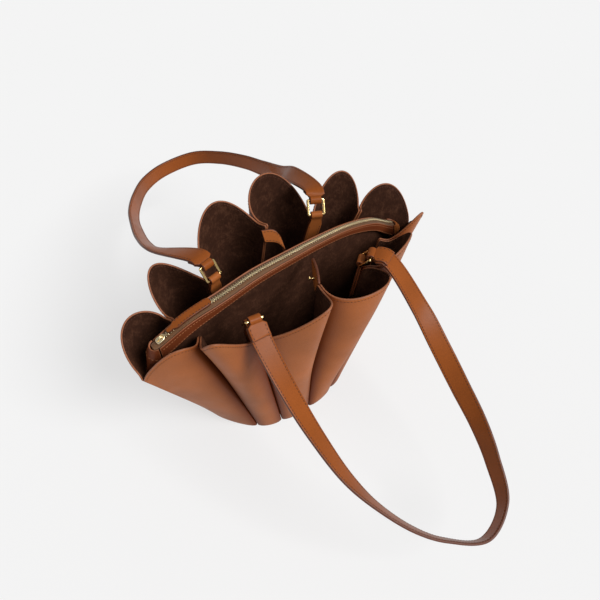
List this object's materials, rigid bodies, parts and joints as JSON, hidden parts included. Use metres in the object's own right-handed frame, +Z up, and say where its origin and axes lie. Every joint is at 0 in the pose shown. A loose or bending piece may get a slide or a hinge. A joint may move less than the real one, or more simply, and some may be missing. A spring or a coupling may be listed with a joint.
{
  "type": "mini tote",
  "caption": "Small fluted leather tote with a scalloped rim, a zipped suede pouch across its middle and long straps on rings.",
  "frame": {"origin": "middle of the base's underside, on the floor the bag stands on", "axes": "+Z up, +X along the bag's width to its right as seen from the front, +Y to the back"},
  "size_m": [0.3418, 0.5754, 0.2345],
  "materials": {
    "tan_leather": "smooth tan bridle leather, soft sheen",
    "suede": "dark brown suede, matt nap",
    "zip_tape": "woven brown zip tape",
    "gold_metal": "polished pale gold"
  },
  "bodies": {
    "root": {"base_panel": "tan_leather", "closure_stud": "gold_metal", "closure_tab_back": "tan_leather", "closure_tab_front": "tan_leather", "petal_back_1": "tan_leather", "petal_back_2": "tan_leather", "petal_back_3": "tan_leather", "petal_back_4": "tan_leather", "petal_back_5": "tan_leather", "petal_back_6": "tan_leather", "petal_front_1": "tan_leather", "petal_front_2": "tan_leather", "petal_front_3": "tan_leather", "petal_front_4": "tan_leather", "petal_front_5": "tan_leather", "petal_front_6": "tan_leather", "pouch_facing_back": "tan_leather", "pouch_facing_front": "tan_leather", "pouch_nose_left": "tan_leather", "pouch_nose_right": "tan_leather", "pouch_wall_back": "suede", "pouch_wall_front": "suede", "ring_back_left": "gold_metal", "ring_back_right": "gold_metal", "ring_front_left": "gold_metal", "ring_front_right": "gold_metal", "ring_tab_back_left": "tan_leather", "ring_tab_back_right": "tan_leather", "ring_tab_front_left": "tan_leather", "ring_tab_front_right": "tan_leather", "strap_back": "tan_leather", "strap_front": "tan_leather", "zip_pull": "tan_leather", "zip_slider": "gold_metal", "zip_tape": "zip_tape", "zip_teeth": "gold_metal"}
  },
  "joints": []
}
